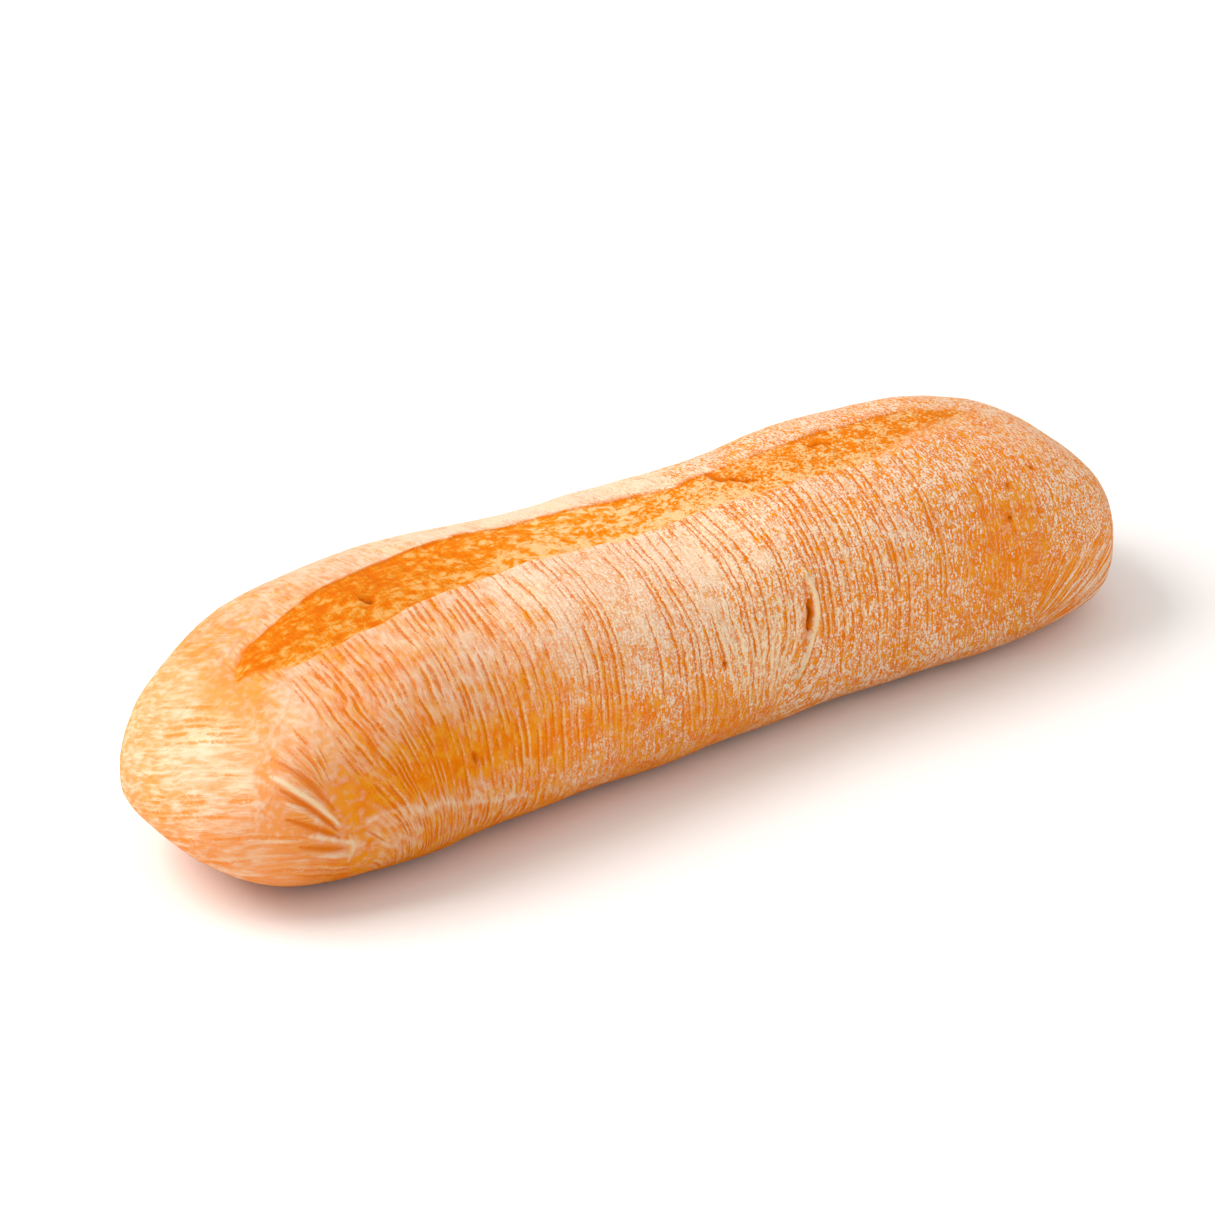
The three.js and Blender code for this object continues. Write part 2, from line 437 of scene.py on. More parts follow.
@dataclass(frozen=True)
class Dough:
    """The soft unevenness of the dough: swells, dents where it was pinched, and bulges that sag."""

    swells: tuple[Swell, ...] = (
        Swell(0.5, 96.0, 2, 1.2, 0.7),
        Swell(0.35, 58.0, 3, 4.1, 2.2),
        Swell(0.25, 37.0, 5, 0.4, 5.0),
    )
    dents: tuple[Spot, ...] = (
        Spot(-116.0, 170.0, 9.0, -1.6),
        Spot(21.0, 168.0, 7.0, -0.8),
        Spot(-74.0, 166.0, 6.0, -0.5),
    )
    bulges: tuple[Spot, ...] = (Spot(-112.0, 222.0, 17.0, 0.9), Spot(-128.0, 205.0, 20.0, 1.0))
    table_fade: float = 6.0

    def relief(self, form: LoafForm, station: Array, direction: Array, points: Array) -> Array:
        """Height of the dough over the smooth loaf, in millimetres.

        Args:
            form: the smooth loaf.
            station: the stations, from -1 to 1.
            direction: the directions in the rings, in radians.
            points: points of shape (count, 3), in millimetres.

        Returns:
            The height at each point.
        """
        soft = np.zeros(len(points))
        for swell in self.swells:
            run = np.sin(2.0 * np.pi * points[:, 0] / swell.wavelength + swell.phase)
            soft += swell.height * run * np.sin(swell.turns * direction + swell.lean)
        soft *= 1.0 - station**8
        for dent in self.dents:
            soft += dent.height * dent.shape(form, points)
        soft *= smoothstep(points[:, 2], 0.0, self.table_fade)
        for bulge in self.bulges:
            soft += bulge.height * bulge.shape(form, points)
        return soft


@dataclass(frozen=True)
class Lean:
    """A stretch of the near flank where the wrinkles lean over below a height, by a slope."""

    x: float
    reach: float
    start: float
    slope: float

    def shift(self, points: Array) -> Array:
        """How far the wrinkles have moved along the loaf at each point."""
        fallen = np.maximum(0.0, self.start - points[:, 2]) * (points[:, 1] < 0.0)
        return self.slope * fallen * hump(points[:, 0] - self.x, self.reach)


@dataclass(frozen=True)
class Wrinkles:
    """The crosswise wrinkles: thin cracks with raised ridges beside them, in uneven bundles.

    They run in four families. Those of the flanks go straight round the loaf, those of the blunt end go
    across its face, and two more fan out from the pinch and from the foot of the slim end.
    """

    seed: int = 11
    leans: tuple[Lean, ...] = (Lean(-99.0, 17.0, 52.0, 0.55), Lean(24.0, 11.0, 33.0, -0.5))
    pinch: tuple[float, float] = (-112.5, 30.0)
    pinch_reach: float = 19.0
    foot: tuple[float, float] = (98.0, 4.0)
    foot_reach: float = 34.0
    face_across: tuple[float, float, float] = (0.28, 0.41, 0.87)
    gaps: tuple[float, float] = (1.15, 4.2)
    bold_share: float = 0.55
    groove_depth: float = 0.15
    groove_width: float = 0.4
    ridge_height: float = 0.12
    ridge_place: float = 0.95
    ridge_width: float = 0.7

    def families(self, points: Array) -> tuple[Array, Array]:
        """Each family's coordinate across its wrinkles, and its share in each point, of shape (4, count).

        Args:
            points: points of shape (count, 3), in millimetres.

        Returns:
            The coordinates in millimetres, and the shares.
        """
        x, y, z = points.T
        flank = x - sum(lean.shift(points) for lean in self.leans)
        face = 400.0 + points @ np.array(self.face_across)
        out, up = self.pinch[0] - x, z - self.pinch[1]
        pinch = 500.0 + self.pinch_reach * np.arctan2(out, up)
        near = smoothstep(-y, 4.0, 14.0)
        pinch_share = near * smoothstep(out, -5.0, 6.0) * (1.0 - smoothstep(np.hypot(out, up), 16.0, 31.0))
        pinch_share = pinch_share * smoothstep(up, -7.0, 1.0)
        beyond, rise = x - self.foot[0], z - self.foot[1]
        foot = 600.0 - self.foot_reach * np.arctan2(beyond, rise)
        foot_share = near * smoothstep(beyond, 4.0, 12.0) * (1.0 - smoothstep(rise, 24.0, 38.0))
        face_edge = -132.0 + 17.0 * near * (1.0 - smoothstep(z, 20.0, 29.0)) + 18.0 * smoothstep(y, 0.0, 14.0)
        face_share = 1.0 - smoothstep(x, face_edge, face_edge + 16.0)
        courses = np.stack([flank, face, pinch, foot])
        return courses, np.stack([np.full(len(x), 0.5), face_share, 1.1 * pinch_share, foot_share])

    def course(self, points: Array) -> tuple[Array, Array]:
        """The coordinate across the wrinkles in millimetres, and how firmly they run there, from 0 to 1.

        Args:
            points: points of shape (count, 3), in millimetres.

        Returns:
            The coordinate and the firmness at each point. Where families meet, the firmness falls to 0.
        """
        courses, shares = self.families(points)
        best = np.argmax(shares, axis=0)
        order = np.sort(shares, axis=0)
        firm = smoothstep(order[-1] - order[-2], 0.14, 0.48)
        from_pinch = np.hypot(points[:, 0] - self.pinch[0], points[:, 2] - self.pinch[1])
        firm = firm * np.where(points[:, 1] < 0.0, smoothstep(from_pinch, 4.0, 13.0), 1.0)
        run = np.take_along_axis(courses, best[None, :], axis=0)[0]
        sway = SmoothNoise(self.seed + 1).layers(points / np.array([30.0, 24.0, 24.0]), 2)
        shiver = SmoothNoise(self.seed + 2).layers(points / np.array([6.0, 7.0, 7.0]), 2)
        return run + 1.5 * sway + 0.45 * shiver, firm

    def lines(self) -> Array:
        """The courses of the cracks, with close bundles and wider plain strips between them.

        Returns:
            Each crack's coordinate across the wrinkles, in millimetres.
        """
        rng = np.random.default_rng(self.seed)
        low, high = self.gaps
        places = [-200.0]
        while places[-1] < 700.0:
            places.append(places[-1] + low + (high - low) * rng.beta(1.0, 1.8))
        return np.array(places)

    def phase(self, course: Array) -> tuple[Array, Array]:
        """The number of the crack nearest to each point, with its share to the next, and the local gap.

        Args:
            course: the coordinates across the wrinkles.

        Returns:
            The numbers, and the gaps in millimetres.
        """
        lines = self.lines()
        phase = np.interp(course, lines, np.arange(len(lines)))
        middles = (lines[1:] + lines[:-1]) / 2.0
        gap = np.interp(course, middles, np.diff(lines))
        return phase, gap

    def strength(self, points: Array, phase: Array) -> Array:
        """How strongly each crack shows at each point, from 0 to 1.

        Args:
            points: points of shape (count, 3), in millimetres.
            phase: the numbers of the cracks.

        Returns:
            The strength at each point.
        """
        number = np.round(phase)
        rng = np.random.default_rng(self.seed + 3)
        bold = rng.uniform(0.0, 1.0, 2048) < self.bold_share
        own = np.where(bold, rng.uniform(0.65, 1.0, 2048), rng.uniform(0.05, 0.4, 2048))
        own = own[number.astype(int) % 2048]
        at_face = 1.0 - smoothstep(points[:, 0], -130.0, -114.0)
        own = lerp(np.maximum(own, lerp(0.6, 0.35, at_face)), own, smoothstep(points[:, 0], -70.0, -15.0))
        left = 1.0 - smoothstep(points[:, 0], -75.0, -30.0)
        reach = lerp(9.0, 5.5, left)
        spread = np.stack([number * 7.7, points[:, 1] / reach, points[:, 2] / reach], axis=1)
        stretch = SmoothNoise(self.seed + 4).layers(spread, 3, 0.6)
        x, z = points[:, 0], points[:, 2]
        at_foot = smoothstep(x, 102.0, 114.0) * (1.0 - smoothstep(z, 22.0, 34.0))
        amidships = 0.85 + 0.4 * hump(x - 20.0, 55.0) - 0.6 * smoothstep(x, 66.0, 94.0) + 0.8 * at_foot
        lowest = lerp(0.7, 0.3, smoothstep(x, -70.0, -30.0)) + 0.4 * at_foot
        low = lerp(lowest, 1.0, smoothstep(z, 16.0, 42.0))
        broken = lerp(0.85, 0.62, left) + lerp(1.5, 2.6, left) * stretch
        smooth_strip = 1.0 - 0.7 * hump(x + 125.0, 5.5) * smoothstep(z, 30.0, 42.0)
        return np.clip(own * broken * amidships * low * smooth_strip, 0.0, 1.0)

    def relief(self, phase: Array, gap: Array, strength: Array) -> Array:
        """Height of the ridges and grooves, in millimetres.

        Args:
            phase: the numbers of the cracks.
            gap: the gaps between them.
            strength: how strongly they show.

        Returns:
            The height at each point.
        """
        side = (phase - np.round(phase)) * gap
        groove = -self.groove_depth * np.exp(-((side / self.groove_width) ** 2))
        ridge = self.ridge_height * np.exp(-(((side - self.ridge_place) / self.ridge_width) ** 2))
        ridge += 0.6 * self.ridge_height * np.exp(-(((side + self.ridge_place) / self.ridge_width) ** 2))
        return strength * (groove + ridge)


@dataclass(frozen=True)
class Crease:
    """A fold or tear drawn on the crust: points of x and direction, its width, height and darkness. The
    darkness is painted shade in the fold, together with its deeper crust colour.
    """

    path: tuple[tuple[float, float], ...]
    width: float
    height: float
    dark: float = 0.0
    pale: float = 0.0

    def share(self, form: LoafForm, points: Array) -> Array:
        """How near each point is to the drawn line, 1 on it, thinning towards its ends.

        Args:
            form: the smooth loaf.
            points: points of shape (count, 3), in millimetres.

        Returns:
            The nearness at each point.
        """
        marks = np.array(self.path)
        fine = np.linspace(0.0, 1.0, 40 * len(marks))
        coarse = np.linspace(0.0, 1.0, len(marks))
        x = np.interp(fine, coarse, marks[:, 0])
        direction = np.radians(np.interp(fine, coarse, marks[:, 1]))
        line = form.point(2.0 * x / form.length, direction)
        width = self.width * (0.35 + 0.65 * np.sin(np.pi * np.clip(fine, 0.02, 0.98)))
        margin = 3.0 * self.width
        close = np.all((points > line.min(axis=0) - margin) & (points < line.max(axis=0) + margin), axis=1)
        gaps = np.linalg.norm(points[close][:, None, :] - line[None], axis=2) / width[None]
        near = np.zeros(len(points))
        near[close] = np.exp(-(gaps.min(axis=1) ** 2))
        return near


@dataclass(frozen=True)
class Marks:
    """The crust's single marks: the pinch's folds, the lip, a burst bubble in the slash, tears and pits."""

    creases: tuple[Crease, ...] = (
        Crease(((-128.0, 149.0), (-121.5, 161.0), (-114.0, 175.0)), 1.25, 0.6, pale=0.62),
        Crease(((-127.0, 155.5), (-120.5, 166.5), (-114.5, 177.5)), 1.1, -0.35, dark=0.42),
        Crease(((-126.0, 143.0), (-120.0, 156.0), (-114.5, 170.0)), 1.0, -0.2, dark=0.36),
        Crease(((-126.0, 162.0), (-120.0, 170.5), (-114.5, 178.5)), 1.0, 0.2, pale=0.3),
        Crease(((-127.0, 168.0), (-120.0, 175.0), (-114.0, 180.5)), 1.0, -0.25, dark=0.42),
        Crease(((-123.0, 176.5), (-117.0, 180.0), (-112.0, 182.5)), 1.1, 0.3, pale=0.42),
        Crease(((-124.0, 181.5), (-118.0, 184.0), (-112.5, 185.5)), 1.0, -0.25, dark=0.4),
        Crease(((-121.0, 186.0), (-116.0, 187.5), (-111.5, 188.0)), 1.1, 0.3, pale=0.42),
        Crease(((-111.5, 180.0), (-110.8, 186.0), (-111.8, 192.0)), 0.85, 0.35, pale=0.4),
        Crease(
            ((33.3, 149.5), (33.0, 152.0), (33.4, 154.5), (32.6, 157.5), (32.3, 161.0)), 0.7, -1.0, dark=1.0
        ),
        Crease(((33.4, 142.0), (32.9, 150.0), (31.9, 160.0), (30.6, 168.0)), 1.8, -0.3, dark=0.26),
        Crease(
            (
                (33.7, 138.0), (34.5, 143.0), (35.3, 150.0), (35.0, 155.0), (33.6, 162.0),
                (31.2, 172.0), (28.0, 180.0),
            ),
            0.85, 1.2, pale=1.1,
        ),
        Crease(
            (
                (-110.0, 178.0), (-103.0, 174.5), (-97.0, 175.0), (-90.0, 179.0), (-85.0, 178.0),
                (-80.0, 181.0), (-70.0, 184.0), (-60.0, 187.0),
            ),
            1.5, 0.25, pale=0.3,
        ),
        Crease(
            (
                (31.2, 82.0), (31.8, 86.0), (33.4, 87.0), (34.6, 87.4), (35.5, 90.0),
                (36.6, 92.6), (37.8, 91.8), (39.6, 94.6),
            ),
            0.65, -0.9, dark=0.85,
        ),
        Crease(((31.2, 78.0), (31.7, 82.0), (32.2, 86.5)), 1.5, -0.4, dark=0.5),
        Crease(((32.4, 91.0), (34.6, 92.6), (37.6, 97.0)), 0.7, 0.45, pale=0.5),
        Crease(((59.0, 84.0), (60.4, 87.4), (62.6, 86.6), (65.5, 89.8)), 0.6, -0.7, dark=0.75),
        Crease(((-81.0, 90.0), (-79.8, 93.0), (-78.6, 91.6)), 1.3, -1.8, dark=1.0),
        Crease(((-82.0, 92.6), (-79.8, 94.6), (-77.4, 96.0)), 0.7, 0.4, pale=0.2),
        Crease(((-74.6, 164.5), (-74.0, 168.5)), 0.8, -0.8, dark=0.7),
    )
    strand_count: int = 10
    strand_seed: int = 51
    pits: tuple[Spot, ...] = (
        Spot(103.0, 131.0, 0.8, -0.9),
        Spot(100.1, 142.0, 0.75, -0.9),
        Spot(114.1, 126.0, 0.8, -0.9),
        Spot(4.0, 163.0, 0.8, -0.6),
    )

    def strands(self) -> list[Crease]:
        """Thin raised strands of pale dough beside the lip, which draw together towards the table.

        Returns:
            The strands.
        """
        rng = np.random.default_rng(self.strand_seed)
        made = []
        for number in range(self.strand_count):
            nudge = rng.uniform(-0.8, 0.8, 3)
            path = (
                (3.0 + 3.1 * number + nudge[0], 147.0 + 4.0 * nudge[1]),
                (6.0 + 2.4 * number + nudge[1], 167.0),
                (10.0 + 1.3 * number + nudge[2], 186.0 + 4.0 * nudge[0]),
            )
            made.append(Crease(path, 0.6, 0.25, pale=0.64))
        return made

    def lay(self, form: LoafForm, points: Array) -> tuple[Array, Array, Array]:
        """Height, darkness and flour of the marks at each point. The darkness is painted shade in the folds,
        tears and pits, together with their deeper crust colour.

        Args:
            form: the smooth loaf.
            points: points of shape (count, 3), in millimetres.

        Returns:
            The three values at each point.
        """
        height, dark, pale = (np.zeros(len(points)) for _ in range(3))
        for crease in [*self.creases, *self.strands()]:
            share = crease.share(form, points)
            height += crease.height * share
            dark = np.maximum(dark, crease.dark * share)
            pale = np.maximum(pale, crease.pale * share)
        for pit in self.pits:
            share = pit.shape(form, points)
            height += pit.height * share
            # The pits are darkened with painted shade.
            dark = np.maximum(dark, 0.95 * share)
        return height, dark, pale


@dataclass(frozen=True)
class Patch:
    """A patch of more or less flour: its middle in x and direction, its reach along and up, and its gain."""

    x: float
    direction: float
    along: float
    up: float
    gain: float

    def share(self, form: LoafForm, points: Array) -> Array:
        """The patch's share at points, 1 at its middle.

        Args:
            form: the smooth loaf.
            points: points of shape (count, 3), in millimetres.

        Returns:
            The share at each point.
        """
        station = np.array([2.0 * self.x / form.length])
        middle = form.point(station, np.radians([self.direction]))[0]
        run = (points[:, 0] - middle[0]) / self.along
        rise = np.hypot(points[:, 1] - middle[1], points[:, 2] - middle[2]) / self.up
        return np.exp(-(run**2) - rise**2)


@dataclass(frozen=True)
class Flour:
    """Where the flour lies: mostly on the upper flanks, thin on the ends and along the base."""

    seed: int = 41
    patches: tuple[Patch, ...] = (
        Patch(-90.0, 130.0, 34.0, 40.0, -0.28),
        Patch(-22.0, 118.0, 28.0, 17.0, 0.14),
        Patch(26.0, 118.0, 32.0, 14.0, 0.42),
        Patch(3.0, 158.0, 16.0, 14.0, 0.22),
        Patch(22.0, 178.0, 14.0, 14.0, 0.2),
        Patch(-80.0, 163.0, 24.0, 10.0, -0.35),
        Patch(-50.0, 160.0, 24.0, 16.0, -0.24),
        Patch(100.0, 152.0, 15.0, 20.0, -1.7),
        Patch(88.0, 150.0, 36.0, 34.0, -0.34),
        Patch(80.0, 118.0, 26.0, 12.0, -0.12),
        Patch(102.0, 98.0, 18.0, 11.0, -0.45),
        Patch(-121.0, 98.0, 9.0, 11.0, -0.32),
        Patch(9.0, 189.0, 17.0, 9.0, -0.75),
        Patch(131.0, 185.0, 12.0, 10.0, 0.7),
        Patch(0.0, 50.0, 44.0, 22.0, 0.5),
        Patch(85.0, 55.0, 40.0, 22.0, 0.15),
        Patch(-125.0, 50.0, 30.0, 22.0, -0.3),
        Patch(64.0, 134.0, 5.0, 4.0, 0.6),
        Patch(-25.0, 174.0, 30.0, 12.0, -0.2),
        Patch(-86.0, 179.0, 26.0, 6.0, 0.25),
        Patch(-118.0, 168.0, 15.0, 16.0, -0.25),
        Patch(-126.0, 120.0, 6.0, 30.0, -0.2),
        Patch(-136.0, 118.0, 3.0, 3.0, 0.5),
        Patch(72.0, 168.0, 28.0, 12.0, -0.14),
    )

    def cover(self, form: LoafForm, points: Array) -> Array:
        """The share of the crust that flour covers.

        Args:
            form: the smooth loaf.
            points: points of shape (count, 3), in millimetres.

        Returns:
            The share at each point, from below 0 where the crust is bare to above 1 where flour lies thick.
        """
        z = points[:, 2]
        cover = lerp(0.36, 0.72, smoothstep(z, 26.0, 52.0))
        for patch in self.patches:
            cover = cover + patch.gain * patch.share(form, points)
        cloud = SmoothNoise(self.seed).layers(points / 17.0, 3)
        return np.clip(cover + 0.16 * cloud - 0.55 * (1.0 - smoothstep(z, 3.0, 15.0)), -1.0, 1.2)


class Field(str, Enum):
    """The values that the mesh carries at each vertex for the crust's material."""

    PHASE = "crack_phase"
    GAP = "crack_gap"
    CRACK = "crack_strength"
    COURSE = "wrinkle_course"
    FIRM = "wrinkle_firmness"
    FLOUR = "flour_cover"
    SLASH = "slash_floor"
    ACROSS = "slash_across"
    # Painted shade in folds, tears and pits, with their deeper crust colour.
    HOLLOW_SHADE = "hollow_shade"
    RIDGE = "pale_ridge"


@dataclass
class NodeGraph:
    """A short way to write a material's nodes."""

    tree: bpy.types.NodeTree

    def node(self, kind: str, **settings: object) -> bpy.types.Node:
        """A new node with its settings.

        Args:
            kind: the node's type.
            settings: values of its properties, by name.

        Returns:
            The node.
        """
        made = self.tree.nodes.new(kind)
        for name, value in settings.items():
            setattr(made, name, value)
        return made

    def feed(self, socket: Socket, value: object) -> None:
        """Links another node's output to a socket, or sets a plain value on it.

        Args:
            socket: the input to feed.
            value: an output, a colour or a number.
        """
        if isinstance(value, bpy.types.NodeSocket):
            self.tree.links.new(value, socket)
        elif isinstance(value, tuple) and len(value) == 3 and socket.type == "RGBA":
            socket.default_value = (*value, 1.0)
        else:
            socket.default_value = value

    def field(self, name: Field) -> Socket:
        """A value that the mesh carries."""
        return self.node("ShaderNodeAttribute", attribute_name=name.value).outputs["Fac"]

    def math(self, operation: str, *values: object) -> Socket:
        """A sum, product or other operation on numbers.

        Args:
            operation: the operation's name.
            values: outputs or numbers.

        Returns:
            The result's output.
        """
        made = self.node("ShaderNodeMath", operation=operation)
        for socket, value in zip(made.inputs, values):
            self.feed(socket, value)
        return made.outputs[0]

    def plus(self, first: object, last: object) -> Socket:
        """The sum of two numbers."""
        return self.math("ADD", first, last)

    def less(self, first: object, last: object) -> Socket:
        """The first number less the last."""
        return self.math("SUBTRACT", first, last)

    def times(self, first: object, last: object) -> Socket:
        """The product of two numbers."""
        return self.math("MULTIPLY", first, last)

    def most(self, first: object, last: object) -> Socket:
        """The larger of two numbers."""
        return self.math("MAXIMUM", first, last)

    def span(
        self, value: object, low: float, high: float, out_low: object = 0.0, out_high: object = 1.0
    ) -> Socket:
        """An eased step.

        Args:
            value: what is stepped.
            low: the value where the step starts.
            high: the value where it ends, which may be the lower one.
            out_low: the result before the step.
            out_high: the result after it.

        Returns:
            The result's output.
        """
        made = self.node("ShaderNodeMapRange", interpolation_type="SMOOTHSTEP")
        limits = {"From Min": low, "From Max": high, "To Min": out_low, "To Max": out_high}
        for name, number in {"Value": value, **limits}.items():
            self.feed(made.inputs[name], number)
        return made.outputs["Result"]

    def mix(self, share: object, first: object, last: object) -> Socket:
        """A number between two others.

        Args:
            share: how far it is from the first, from 0 to 1.
            first: the first number.
            last: the last number.

        Returns:
            The number's output.
        """
        made = self.node("ShaderNodeMix", data_type="FLOAT")
        for number, value in zip((0, 2, 3), (share, first, last)):
            self.feed(made.inputs[number], value)
        return made.outputs[0]

    def swirl(
        self, vector: Socket, scale: float, amount: float, stretch: tuple[float, float, float]
    ) -> Socket:
        """A vector moved about by slow noise and then stretched.

        Args:
            vector: the vector's output.
            scale: how fine the noise is.
            amount: how far it moves the vector.
            stretch: the factors on its three parts.

        Returns:
            The new vector's output.
        """
        slow = self.node("ShaderNodeTexNoise", noise_dimensions="3D")
        self.feed(slow.inputs["Vector"], vector)
        slow.inputs["Scale"].default_value = scale
        moved = self.node("ShaderNodeVectorMath", operation="MULTIPLY_ADD")
        self.feed(moved.inputs[0], slow.outputs["Color"])
        moved.inputs[1].default_value = (amount, amount, amount)
        self.feed(moved.inputs[2], vector)
        stretched = self.node("ShaderNodeVectorMath", operation="MULTIPLY")
        self.feed(stretched.inputs[0], moved.outputs[0])
        stretched.inputs[1].default_value = stretch
        return stretched.outputs[0]

    def noise(self, vector: Socket, scale: float, detail: float = 2.0, rough: float = 0.5) -> Socket:
        """Noise on a vector, from 0 to 1.

        Args:
            vector: the vector's output.
            scale: how fine the noise is.
            detail: how many finer layers it has.
            rough: how strong the finer layers are.

        Returns:
            The noise's output.
        """
        made = self.node("ShaderNodeTexNoise", noise_dimensions="3D")
        self.feed(made.inputs["Vector"], vector)
        made.inputs["Scale"].default_value = scale
        made.inputs["Detail"].default_value = detail
        made.inputs["Roughness"].default_value = rough
        return made.outputs["Fac"]

    def blend(self, share: object, first: object, last: object) -> Socket:
        """A colour between two others.

        Args:
            share: how far it is from the first, from 0 to 1.
            first: the first colour.
            last: the last colour.

        Returns:
            The colour's output.
        """
        made = self.node("ShaderNodeMix", data_type="RGBA")
        for number, value in zip((0, 6, 7), (share, first, last)):
            self.feed(made.inputs[number], value)
        return made.outputs[2]


@dataclass(frozen=True)
class CrustPlaces:
    """Where a point lies on the crust, and the fine noises that the layers of the crust share."""

    place: Socket
    along: Socket
    up: Socket
    streaked: Socket
    dashed: Socket
    firm: Socket
    crisp: Socket
    ended: Socket
    at_foot: Socket
    jitter: Socket
    dots: Socket
    specks: Socket
    mottle: Socket

    @classmethod
    def read(cls, graph: NodeGraph) -> "CrustPlaces":
        """Reads the object coordinates and the carried values.

        Args:
            graph: the material's nodes.

        Returns:
            The places in millimetres, and noises from 0 to 1. Crisp is 0 at the blunt end and 1 amidships,
            ended is highest on the blunt end's face, and at_foot is 1 low on the slim end.
        """
        scaled = graph.node("ShaderNodeVectorMath", operation="SCALE")
        graph.feed(scaled.inputs[0], graph.node("ShaderNodeTexCoord").outputs["Object"])
        scaled.inputs["Scale"].default_value = 1.0 / MM
        place = scaled.outputs[0]
        split = graph.node("ShaderNodeSeparateXYZ")
        graph.feed(split.inputs[0], place)
        along, across, up = split.outputs
        streaks = graph.node("ShaderNodeCombineXYZ")
        graph.feed(streaks.inputs[0], graph.field(Field.COURSE))
        graph.feed(streaks.inputs[1], graph.times(across, 0.12))
        graph.feed(streaks.inputs[2], graph.times(up, 0.12))
        dashed = graph.node("ShaderNodeVectorMath", operation="MULTIPLY")
        graph.feed(dashed.inputs[0], streaks.outputs[0])
        dashed.inputs[1].default_value = (1.0, 2.4, 2.4)
        return cls(
            place=place,
            along=along,
            up=up,
            streaked=streaks.outputs[0],
            dashed=dashed.outputs[0],
            firm=graph.field(Field.FIRM),
            crisp=graph.span(along, -110.0, 10.0),
            ended=graph.span(along, -106.0, -132.0, 0.0, 0.8),
            at_foot=graph.times(graph.span(along, 98.0, 112.0), graph.span(up, 34.0, 22.0)),
            jitter=graph.span(graph.noise(place, 1.3, 2.0, 0.6), 0.25, 0.75, -0.5, 0.5),
            dots=graph.noise(place, 1.2, 3.0, 0.7),
            specks=graph.noise(place, 1.75, 4.0, 0.7),
            mottle=graph.noise(place, 0.24, 4.0, 0.65),
        )


